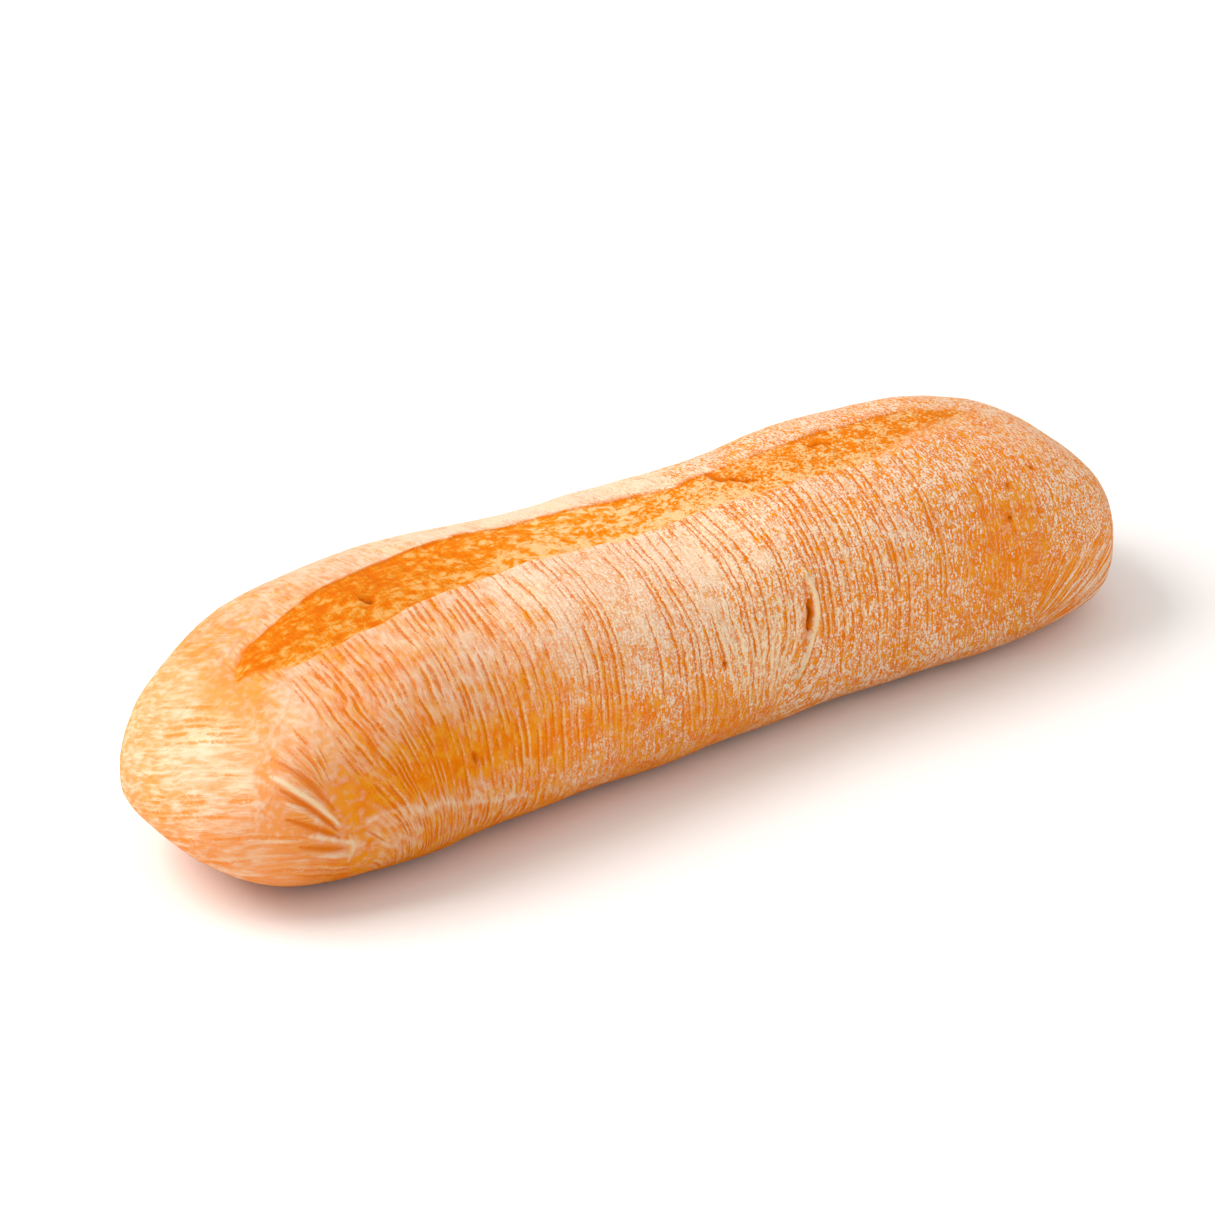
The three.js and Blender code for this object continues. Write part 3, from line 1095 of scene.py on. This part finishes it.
@dataclass(frozen=True)
class CrustFinish:
    """The floured crust: golden orange with a pinkish film of flour, rusty cracks and open slash floors."""

    golden: Colour = linear(238, 148, 26)
    deep: Colour = linear(236, 122, 0)
    flour: Colour = linear(238, 201, 170)
    powder: Colour = linear(244, 226, 204)
    ridge: Colour = linear(248, 220, 174)
    cream: Colour = linear(246, 214, 168)
    honey: Colour = linear(240, 155, 92)
    amber: Colour = linear(238, 138, 48)
    # Dark band low on the underside: painted contact shade, and the scorched crust there.
    scorched_contact_shade: Colour = linear(140, 72, 26)
    # Rusty orange of the cracks, also used for painted shade in folds and along the slash's far edge.
    rust_and_shade: Colour = linear(222, 110, 0)
    floor: Colour = linear(228, 138, 24)
    floor_deep: Colour = linear(224, 108, 0)
    floor_gold: Colour = linear(234, 174, 98)
    floor_bright: Colour = linear(240, 148, 20)
    floor_fiery: Colour = linear(236, 122, 0)
    floor_pale: Colour = linear(242, 204, 148)
    # The colour of folds, tears and pits at their darkest: painted shade with their deeper crust colour.
    hollow_shade: Colour = linear(158, 78, 4)
    crust_rough: float = 0.9
    floor_rough: float = 0.62
    gloss: float = 0.04
    bump_strength: float = 0.6
    bump_height: float = 0.5

    def cracks(self, graph: NodeGraph, here: CrustPlaces) -> tuple[Socket, Socket, Socket]:
        """The thin cracks.

        Args:
            graph: the material's nodes.
            here: the places and noises that the layers share.

        Returns:
            The cracks' lines, the pale bands beside them, and how much flour they have shed.
        """
        strength = graph.field(Field.CRACK)
        centred = graph.math("FRACT", graph.plus(graph.field(Field.PHASE), 0.5))
        side = graph.times(graph.less(centred, 0.5), graph.field(Field.GAP))
        side = graph.plus(side, graph.times(here.jitter, graph.mix(here.crisp, 0.15, 0.35)))
        distance = graph.math("ABSOLUTE", side)
        on_face = graph.span(here.along, -114.0, -130.0, 0.0, 0.45)
        widest = graph.plus(graph.span(here.crisp, 0.0, 1.0, 0.85, 0.4), on_face)
        broken = graph.times(widest, graph.span(here.dots, 0.36, 0.56, 0.05, 1.0))
        reach = graph.times(strength, broken)
        crack = graph.less(1.0, graph.span(graph.math("DIVIDE", distance, reach), 0.25, 1.3))
        crack = graph.times(crack, graph.span(strength, 0.05, 0.4))
        band = graph.math("ABSOLUTE", graph.less(side, 0.8))
        band = graph.less(1.0, graph.span(band, 0.1, 0.65))
        band = graph.times(band, graph.times(strength, graph.span(here.dots, 0.3, 0.6)))
        shed = graph.less(1.0, graph.span(distance, 0.3, 1.7))
        return crack, band, graph.times(shed, graph.times(strength, -0.2))

    def coverage(self, graph: NodeGraph, here: CrustPlaces, shed: Socket) -> tuple[Socket, Socket, Socket]:
        """How the flour lies.

        Args:
            graph: the material's nodes.
            here: the places and noises that the layers share.
            shed: how much flour the cracks have shed.

        Returns:
            The share that flour covers, its grain, and its streaks along the wrinkles.
        """
        streak = graph.span(graph.noise(here.streaked, 1.1, 3.0, 0.55), 0.32, 0.68, -0.5, 0.5)
        streak = graph.times(streak, here.firm)
        dashes = graph.noise(here.dashed, 1.75, 3.0, 0.65)
        mixed = graph.plus(graph.times(here.specks, 0.5), graph.times(dashes, 0.5))
        sharp = graph.span(graph.mix(here.firm, here.specks, mixed), 0.45, 0.55, -0.5, 0.5)
        soft_dashes = graph.noise(here.dashed, 0.85, 3.0, 0.6)
        blurred = graph.mix(here.firm, graph.noise(here.place, 0.5, 2.0, 0.5), soft_dashes)
        grain = graph.mix(here.crisp, graph.span(blurred, 0.3, 0.7, -0.5, 0.5), sharp)
        busy = graph.most(graph.span(here.along, 40.0, 80.0), graph.span(here.up, 52.0, 30.0))
        grain = graph.times(grain, graph.mix(busy, 0.7, 1.0))
        grain = graph.times(grain, graph.span(here.at_foot, 0.0, 1.0, 1.0, 0.55))
        fanned = graph.times(streak, graph.times(here.at_foot, 0.9))
        cloud = graph.span(graph.noise(here.place, 0.11, 4.0, 0.6), 0.34, 0.66, -0.5, 0.5)
        uneven = shed
        for part, weight in ((streak, 0.22), (fanned, 1.0), (grain, 0.85), (cloud, 0.35)):
            uneven = graph.plus(uneven, graph.times(part, weight))
        on_face = graph.span(here.along, -112.0, -128.0, 0.0, 0.12)
        rougher = graph.plus(graph.span(here.along, -110.0, -20.0, 0.6, 1.2), on_face)
        rougher = graph.plus(rougher, graph.span(here.along, -8.0, 50.0, 0.0, 1.8))
        cover = graph.plus(graph.field(Field.FLOUR), graph.times(uneven, rougher))
        crumbs = graph.span(grain, 0.22, 0.48, 0.0, graph.span(here.crisp, 0.4, 1.0, 0.0, 0.32))
        return graph.most(graph.span(cover, 0.0, 1.0), crumbs), grain, streak

    def flank(
        self, graph: NodeGraph, here: CrustPlaces, cover: Socket, crack: Socket, band: Socket
    ) -> Socket:
        """The crust's colour outside the slashes.

        Args:
            graph: the material's nodes.
            here: the places and noises that the layers share.
            cover: the share that flour covers.
            crack: the cracks' lines.
            band: the pale bands beside them.

        Returns:
            The colour's output.
        """
        browning = graph.noise(here.place, 0.25, 6.0, 0.74)
        crust = graph.blend(graph.span(browning, 0.4, 0.6), self.golden, self.deep)
        crust = graph.blend(here.ended, crust, self.honey)
        creamy = graph.span(graph.noise(here.place, 0.07, 3.0), 0.45, 0.75, 0.0, 0.5)
        creamy = graph.most(creamy, graph.times(here.ended, 0.2))
        from_lip = graph.math("ABSOLUTE", graph.less(here.along, 19.0))
        creamy = graph.most(creamy, graph.span(from_lip, 22.0, 6.0, 0.0, 0.4))
        floured = graph.blend(creamy, self.flour, self.cream)
        powdered = graph.span(here.crisp, 0.0, 1.0, 0.2, 0.8)
        powdered = graph.times(graph.span(here.specks, 0.48, 0.62), powdered)
        floured = graph.blend(powdered, floured, self.powder)
        colour = graph.blend(cover, crust, floured)
        colour = graph.blend(graph.times(band, 0.75), colour, self.cream)
        darker = graph.blend(here.ended, self.rust_and_shade, self.amber)
        colour = graph.blend(graph.times(crack, graph.mix(here.crisp, 0.7, 0.9)), colour, darker)
        crumbly = graph.mix(here.crisp, 1.0, graph.span(here.dots, 0.3, 0.5, 0.5, 1.0))
        ridge = graph.times(graph.span(graph.field(Field.RIDGE), 0.15, 0.85), crumbly)
        return graph.blend(ridge, colour, self.ridge)

    def slash_floor(self, graph: NodeGraph, here: CrustPlaces) -> tuple[Socket, Socket]:
        """The floor of the slashes: torn fibres in the long one, fine specks in the short one, and a painted
        shadow of the ear along the far edge.

        Args:
            graph: the material's nodes.
            here: the places and noises that the layers share.

        Returns:
            The floor's colour, and its tone from deep orange to pale.
        """
        across = graph.field(Field.ACROSS)
        fibre = graph.noise(graph.swirl(here.place, 0.1, 9.0, (0.6, 1.0, 1.0)), 0.6, 4.0, 0.62)
        speckled = graph.span(here.along, -20.0, 30.0, 0.0, 0.8)
        tone = graph.mix(speckled, fibre, graph.noise(here.place, 1.0, 4.0, 0.75))
        sharp = graph.times(graph.less(tone, 0.5), graph.mix(speckled, 0.7, 2.6))
        blotches = graph.less(here.mottle, 0.5)
        blotches = graph.times(blotches, graph.mix(speckled, 0.7, 0.9))
        tone = graph.plus(graph.plus(sharp, 0.5), blotches)
        for lighter in (
            graph.span(here.along, -80.0, -10.0, 0.0, 0.08),
            graph.span(here.along, 20.0, 75.0, 0.0, -0.07),
            graph.span(across, 0.3, -0.95, -0.03, 0.06),
        ):
            tone = graph.plus(tone, lighter)
        floured = graph.span(here.along, -80.0, 0.0)
        deepest = graph.blend(floured, self.floor_deep, self.floor_fiery)
        middle = graph.blend(floured, self.floor, self.floor_bright)
        palest = graph.blend(floured, self.floor_gold, self.floor_pale)
        floor = graph.blend(graph.span(tone, 0.36, 0.6), deepest, middle)
        floor = graph.blend(graph.times(graph.span(tone, 0.5, 0.67), 0.9), floor, palest)
        # Painted shadow of the ear: a thin ragged dark line along the far edge.
        ragged = graph.span(here.dots, 0.4, 0.55, 0.3, 1.0)
        ear_shadow_line = graph.times(graph.span(across, 0.86, 0.97, 0.0, 0.9), ragged)
        return graph.blend(ear_shadow_line, floor, self.rust_and_shade), tone

    def painted_shade_and_scorch(self, graph: NodeGraph, here: CrustPlaces, colour: Socket) -> Socket:
        """Painted shade on the crust: darker towards the base and beside the pinch, and a mottled dark band
        on the underside at the table that is painted contact shade as well as the scorched crust there.

        Args:
            graph: the material's nodes.
            here: the places and noises that the layers share.
            colour: the colour before.

        Returns:
            The colour's output.
        """
        # Painted shade: the colour darkens towards the base and on the flank beside the pinch.
        rise = graph.span(here.up, 4.0, 38.0, 0.84, 1.0)
        left_flank_shade = graph.span(here.along, -132.0, -112.0)
        left_flank_shade = graph.times(left_flank_shade, graph.span(here.along, -40.0, -80.0))
        shade = graph.less(1.0, graph.times(left_flank_shade, 0.12))
        shaded = graph.node("ShaderNodeVectorMath", operation="SCALE")
        graph.feed(shaded.inputs[0], colour)
        graph.feed(shaded.inputs["Scale"], graph.times(rise, shade))
        # Painted contact shade in a mottled band low at the table, which also stands for the scorched
        # underside.
        low = graph.plus(here.up, graph.times(here.jitter, 1.4))
        contact_shade = graph.span(here.mottle, 0.38, 0.62, 0.35, 0.9)
        contact_shade = graph.times(graph.span(low, 3.6, 1.2), contact_shade)
        return graph.blend(contact_shade, shaded.outputs[0], self.scorched_contact_shade)

    def material(self) -> bpy.types.Material:
        """The crust's material, on object coordinates and the values that the mesh carries.

        Returns:
            The material.
        """
        made = bpy.data.materials.new("floured_crust")
        made.use_nodes = True
        graph = NodeGraph(made.node_tree)
        here = CrustPlaces.read(graph)
        crack, band, shed = self.cracks(graph, here)
        cover, grain, streak = self.coverage(graph, here, shed)
        floor, tone = self.slash_floor(graph, here)
        slash = graph.field(Field.SLASH)
        hollow_shade = graph.field(Field.HOLLOW_SHADE)
        colour = graph.blend(slash, self.flank(graph, here, cover, crack, band), floor)
        # Folds, tears and pits: their deeper crust colour, then painted shade at their darkest.
        colour = graph.blend(graph.span(hollow_shade, 0.0, 0.5), colour, self.rust_and_shade)
        colour = graph.blend(graph.span(hollow_shade, 0.45, 1.0), colour, self.hollow_shade)

        shader = made.node_tree.nodes["Principled BSDF"]
        # The base colour carries the painted shade and the painted contact shade.
        graph.feed(shader.inputs["Base Color"], self.painted_shade_and_scorch(graph, here, colour))
        rough = graph.span(slash, 0.0, 1.0, self.crust_rough, self.floor_rough)
        graph.feed(shader.inputs["Roughness"], rough)
        shader.inputs["Specular IOR Level"].default_value = self.gloss

        height = graph.times(cover, 0.25)
        height = graph.plus(height, graph.times(grain, 0.3))
        height = graph.plus(height, graph.times(streak, 0.3))
        height = graph.less(height, graph.times(crack, graph.mix(here.ended, 0.2, 0.0)))
        height = graph.plus(height, graph.times(tone, slash))
        bump = graph.node("ShaderNodeBump")
        bump.inputs["Strength"].default_value = self.bump_strength
        bump.inputs["Distance"].default_value = self.bump_height * MM
        graph.feed(bump.inputs["Height"], height)
        graph.feed(shader.inputs["Normal"], bump.outputs[0])
        return made


@dataclass
class Loaf:
    """The baked loaf: its skin from a sphere, pulled out to the form and dressed in its crust."""

    form: LoafForm = field(default_factory=LoafForm)
    slashes: SlashPair = field(default_factory=SlashPair)
    dough: Dough = field(default_factory=Dough)
    wrinkles: Wrinkles = field(default_factory=Wrinkles)
    marks: Marks = field(default_factory=Marks)
    flour: Flour = field(default_factory=Flour)
    finish: CrustFinish = field(default_factory=CrustFinish)
    rings: int = 570
    underside_columns: int = 14
    far_flank_columns: int = 22
    far_shoulder_columns: int = 10
    wall_columns: int = 3
    floor_columns: int = 20
    near_shoulder_columns: int = 18
    near_flank_columns: int = 84
    shoulder_direction: float = 48.0

    def stations(self) -> Array:
        """The rings' stations, evenly spaced along the skin.

        Returns:
            The stations, from -1 to 1.
        """
        share = np.linspace(-1.0, 1.0, 8001)
        station = np.sign(share) * (1.0 - (1.0 - np.abs(share)) ** 2)
        run = np.zeros(len(station))
        for direction in (90.0, 135.0, 180.0):
            points = self.form.point(station, np.full(len(station), math.radians(direction)))
            run[1:] += np.cumsum(np.linalg.norm(np.diff(points, axis=0), axis=1))
        return np.interp(np.linspace(0.0, run[-1], self.rings + 1), run, station)

    def guides(self, station: Array) -> tuple[Array, Array]:
        """The columns at which each span ends, and the guide directions for each station.

        Args:
            station: the stations, from -1 to 1.

        Returns:
            The columns, and the directions in radians, of shape (stations, spans + 1).
        """
        form, slashes = self.form, self.slashes
        rings = form.rings(station)
        guide_x = np.clip(rings.x, slashes.long_cut.start, slashes.short_cut.end)
        middle, half_width, _ = slashes.furrow(guide_x)
        crown = form.rings(2.0 * guide_x / form.length)
        half_width = np.maximum(half_width, slashes.least_half_width)
        near_base = form.direction_of_base(rings) + 2.0 * np.pi
        far_base = np.pi - near_base
        shoulder = np.full(len(station), math.radians(self.shoulder_direction))
        wall = slashes.wall_width
        directions = [far_base, shoulder]
        for offset in (half_width, half_width - wall, wall - half_width, -half_width):
            directions.append(form.direction_of_offset(crown, middle + offset))
        directions += [np.pi - shoulder, near_base, far_base + 2.0 * np.pi]
        spans = [
            0,
            self.far_flank_columns,
            self.far_shoulder_columns,
            self.wall_columns,
            self.floor_columns,
            self.wall_columns,
            self.near_shoulder_columns,
            self.near_flank_columns,
            self.underside_columns,
        ]
        return np.cumsum(spans), np.stack(directions, axis=1)

    def skin(self) -> tuple[bpy.types.Object, Array, Array]:
        """A closed sphere of rings and columns.

        Returns:
            The object, and each vertex's station and direction on the form.
        """
        stations = self.stations()
        ends, directions = self.guides(stations)
        columns = int(ends[-1])
        mesh = bpy.data.meshes.new("loaf_crust")
        shape = bmesh.new()
        bmesh.ops.create_uvsphere(shape, u_segments=columns, v_segments=self.rings, radius=1.0)
        shape.to_mesh(mesh)
        shape.free()
        unit = np.zeros(len(mesh.vertices) * 3)
        mesh.vertices.foreach_get("co", unit)
        unit = unit.reshape(-1, 3)
        ring = np.round((1.0 - np.arccos(np.clip(unit[:, 2], -1.0, 1.0)) / np.pi) * self.rings).astype(int)
        turn = np.arctan2(unit[:, 1], unit[:, 0]) / (2.0 * np.pi) - SPHERE_START
        column = np.round(turn * columns).astype(int) % columns
        guide = np.clip(np.searchsorted(ends, column, side="left"), 1, len(ends) - 1)
        share = (column - ends[guide - 1]) / (ends[guide] - ends[guide - 1])
        direction = lerp(directions[ring, guide - 1], directions[ring, guide], share)
        skin = bpy.data.objects.new("loaf_crust", mesh)
        bpy.context.scene.collection.objects.link(skin)
        return skin, stations[ring], direction

    def build(self) -> bpy.types.Object:
        """The loaf's finished mesh, in metres, with the values that its material reads.

        Returns:
            The skin.
        """
        skin, station, direction = self.skin()
        points = self.form.point(station, direction)
        rings = self.form.rings(station)
        offset = points[:, 1] - rings.middle
        on_top = np.sin(direction) > 0.0

        noise = SmoothNoise(71).layers(points / 6.0, 2)
        inside, across, depth = self.slashes.place(points[:, 0], offset, 0.8 * noise)
        inside = np.where(on_top, inside, -99.0)
        soft = self.slashes.softness(points[:, 0], across)
        cut = self.slashes.relief(inside, across, depth, soft)
        floor = smoothstep(inside, -0.1, soft - 0.1)

        course, firm = self.wrinkles.course(points)
        phase, gap = self.wrinkles.phase(course)
        strength = self.wrinkles.strength(points, phase)
        far = smoothstep(np.cos(direction), 0.02, 0.3)
        strength = strength * smoothstep(points[:, 2], 4.0, 14.0) * (1.0 - floor) * firm * (1.0 - 0.75 * far)
        flattened = lerp(0.4, 1.0, smoothstep(points[:, 0], -132.0, -112.0))
        wrinkle = self.wrinkles.relief(phase, gap, strength) * flattened

        fibre_places = points / np.array([4.5, 2.4, 2.4]) + 0.8 * SmoothNoise(74).at(points / 8.0)[:, None]
        fibres = SmoothNoise(72).layers(fibre_places, 3)
        lumps = SmoothNoise(73).layers(points / 9.0, 3)
        lying = smoothstep(points[:, 2], 0.0, 5.0)
        mark_height, dark, pale = self.marks.lay(self.form, points)
        relief = cut + self.dough.relief(self.form, station, direction, points)
        relief = relief + wrinkle + mark_height + 0.4 * fibres * floor + 0.25 * lumps * lying
        flour = self.flour.cover(self.form, points) + pale
        points = points + self.form.outward(station, direction) * relief[:, None]
        points[:, 2] = np.where(points[:, 2] < 1e-3, 0.0, points[:, 2])

        skin.data.vertices.foreach_set("co", (points * MM).ravel())
        skin.data.update()
        values = {
            Field.PHASE: phase,
            Field.GAP: gap,
            Field.CRACK: strength,
            Field.COURSE: course,
            Field.FIRM: firm,
            Field.FLOUR: flour,
            Field.SLASH: floor,
            Field.ACROSS: across,
            Field.HOLLOW_SHADE: dark,
            Field.RIDGE: pale,
        }
        for name, numbers in values.items():
            carried = skin.data.attributes.new(name.value, "FLOAT", "POINT")
            carried.data.foreach_set("value", np.asarray(numbers, dtype=np.float32))
        self.dress(skin)
        return skin

    def dress(self, skin: bpy.types.Object) -> None:
        """Gives the skin its faces' directions, its smooth shading and its crust.

        Each face is split along its shorter diagonal, so that slanting folds stay smooth.

        Args:
            skin: the skin.
        """
        shape = bmesh.new()
        shape.from_mesh(skin.data)
        bmesh.ops.triangulate(shape, faces=shape.faces, quad_method="SHORT_EDGE")
        bmesh.ops.recalc_face_normals(shape, faces=shape.faces)
        shape.to_mesh(skin.data)
        shape.free()
        skin.data.polygons.foreach_set("use_smooth", [True] * len(skin.data.polygons))
        skin.data.materials.append(self.finish.material())


@dataclass
class Table:
    """The plain pale surface that the loaf lies on."""

    half_side: float = 4000.0
    drop: float = 0.15
    pale: Colour = linear(250, 247, 244)

    def build(self) -> bpy.types.Object:
        """A wide flat square, a hair below the loaf's underside.

        Returns:
            The table.
        """
        mesh = bpy.data.meshes.new("table")
        shape = bmesh.new()
        bmesh.ops.create_grid(shape, x_segments=1, y_segments=1, size=self.half_side * MM)
        bmesh.ops.translate(shape, verts=shape.verts, vec=(0.0, 0.0, -self.drop * MM))
        shape.to_mesh(mesh)
        shape.free()
        table = bpy.data.objects.new("table", mesh)
        bpy.context.scene.collection.objects.link(table)
        made = bpy.data.materials.new("pale_table")
        made.use_nodes = True
        shader = made.node_tree.nodes["Principled BSDF"]
        shader.inputs["Base Color"].default_value = (*self.pale, 1.0)
        shader.inputs["Roughness"].default_value = 0.9
        shader.inputs["Specular IOR Level"].default_value = 0.1
        mesh.materials.append(made)
        return table


@dataclass(frozen=True)
class SoftLight:
    """A square soft light that faces the loaf."""

    name: str
    place: tuple[float, float, float]
    side: float
    power: float
    colour: Colour = (1.0, 1.0, 1.0)

    def build(self) -> bpy.types.Object:
        """The light, turned towards the loaf.

        Returns:
            The light.
        """
        data = bpy.data.lights.new(self.name, "AREA")
        data.shape = "SQUARE"
        data.size = self.side
        data.energy = self.power
        data.color = self.colour
        light = bpy.data.objects.new(self.name, data)
        light.location = self.place
        light.rotation_euler = Vector(self.place).to_track_quat("Z", "Y").to_euler()
        bpy.context.scene.collection.objects.link(light)
        return light


@dataclass(frozen=True)
class Viewpoint:
    """Where the loaf is seen from, in degrees, millimetres and pixels of the photograph."""

    azimuth: float = 34.0
    elevation: float = 30.0
    distance: float = 1359.8
    focal_pixels: float = 5149.6
    anchor: tuple[float, float, float] = (0.0, 1.32, 30.0)
    aim_right: float = -3.92
    aim_up: float = 2.08

    def build(self) -> bpy.types.Object:
        """Sets up the scene's camera.

        Returns:
            The camera.
        """
        turn, tilt = math.radians(self.azimuth), math.radians(self.elevation)
        forward = Vector(
            (math.sin(turn) * math.cos(tilt), math.cos(turn) * math.cos(tilt), -math.sin(tilt))
        )
        right = Vector((math.cos(turn), -math.sin(turn), 0.0))
        up = right.cross(forward)
        target = Vector(self.anchor) + right * self.aim_right + up * self.aim_up
        data = bpy.data.cameras.new("viewpoint")
        data.sensor_width = SENSOR_MM
        data.lens = self.focal_pixels * SENSOR_MM / PHOTO_PIXELS
        data.clip_start = 0.05
        data.clip_end = 50.0
        camera = bpy.data.objects.new("viewpoint", data)
        camera.location = (target - forward * self.distance) * MM
        camera.rotation_euler = forward.to_track_quat("-Z", "Y").to_euler()
        bpy.context.scene.collection.objects.link(camera)
        bpy.context.scene.camera = camera
        return camera


@dataclass
class Studio:
    """Plain soft daylight: a bright surround, a high window from the far left and a weak fill."""

    surround: float = 0.74
    lights: tuple[SoftLight, ...] = (
        SoftLight("window", (-0.8, 0.46, 1.1), 0.9, 17.0, (1.0, 0.985, 0.96)),
        SoftLight("fill", (1.1, -0.9, 0.7), 1.0, 2.2),
    )

    def build(self) -> None:
        """Sets the surround, the lights and how light turns into screen values."""
        scene = bpy.context.scene
        world = bpy.data.worlds.new("surround")
        world.use_nodes = True
        background = world.node_tree.nodes["Background"]
        background.inputs["Color"].default_value = (1.0, 1.0, 1.0, 1.0)
        background.inputs["Strength"].default_value = self.surround
        scene.world = world
        for light in self.lights:
            light.build()
        scene.view_settings.view_transform = "Standard"
        scene.view_settings.look = "None"


def main() -> None:
    """Builds the loaf, the table, the light and the viewpoint, in order."""
    logging.basicConfig(level=logging.INFO, format="%(name)s: %(message)s")
    Viewpoint().build()
    Studio().build()
    Table().build()

    crust = Loaf().build()
    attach(crust, "root")
    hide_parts("loaf")
    log.info("%s: %d faces", crust.name, len(crust.data.polygons))


if __name__ == "__main__":
    main()
